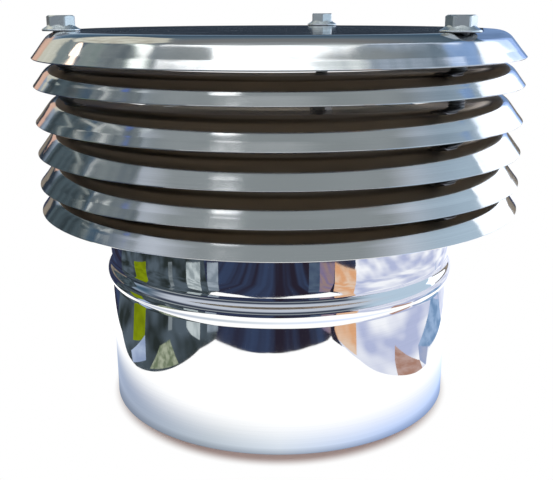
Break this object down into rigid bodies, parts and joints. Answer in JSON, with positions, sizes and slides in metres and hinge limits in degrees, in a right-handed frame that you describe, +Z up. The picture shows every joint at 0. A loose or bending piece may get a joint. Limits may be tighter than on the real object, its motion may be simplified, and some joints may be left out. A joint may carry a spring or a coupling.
{
  "type": "louvered vent cap",
  "caption": "Round anti-downdraught vent cap: closed cap over stacked louvre rings on long bolts, with a beaded spigot that slips into a round flue.",
  "frame": {"origin": "centre of the collar's lower edge, on the flue's axis", "axes": "+Z up along the flue's axis, -Y towards the side that the picture shows, +X to its right"},
  "size_m": [0.244, 0.244, 0.1967],
  "materials": {
    "collar_steel": "bright, mirror-like stainless sheet",
    "ring_steel": "polished stainless sheet with fine turning lines",
    "cap_steel": "polished stainless sheet, mirror-like on top",
    "bolt_zinc": "bright zinc plating",
    "nut_zinc": "bright zinc plating"
  },
  "bodies": {
    "root": {"flue_collar": "collar_steel", "base_ring": "ring_steel", "louvre_ring_4": "ring_steel", "louvre_ring_3": "ring_steel", "louvre_ring_2": "ring_steel", "louvre_ring_1": "ring_steel", "top_cap": "cap_steel", "tie_bolt_right": "bolt_zinc", "tie_bolt_rear": "bolt_zinc", "tie_bolt_left": "bolt_zinc", "nut_right_base": "nut_zinc", "nut_right_ring_4": "nut_zinc", "nut_right_ring_3": "nut_zinc", "nut_right_ring_2": "nut_zinc", "nut_right_ring_1": "nut_zinc", "nut_right_cap": "nut_zinc", "nut_rear_base": "nut_zinc", "nut_rear_ring_4": "nut_zinc", "nut_rear_ring_3": "nut_zinc", "nut_rear_ring_2": "nut_zinc", "nut_rear_ring_1": "nut_zinc", "nut_rear_cap": "nut_zinc", "nut_left_base": "nut_zinc", "nut_left_ring_4": "nut_zinc", "nut_left_ring_3": "nut_zinc", "nut_left_ring_2": "nut_zinc", "nut_left_ring_1": "nut_zinc", "nut_left_cap": "nut_zinc"}
  },
  "joints": []
}
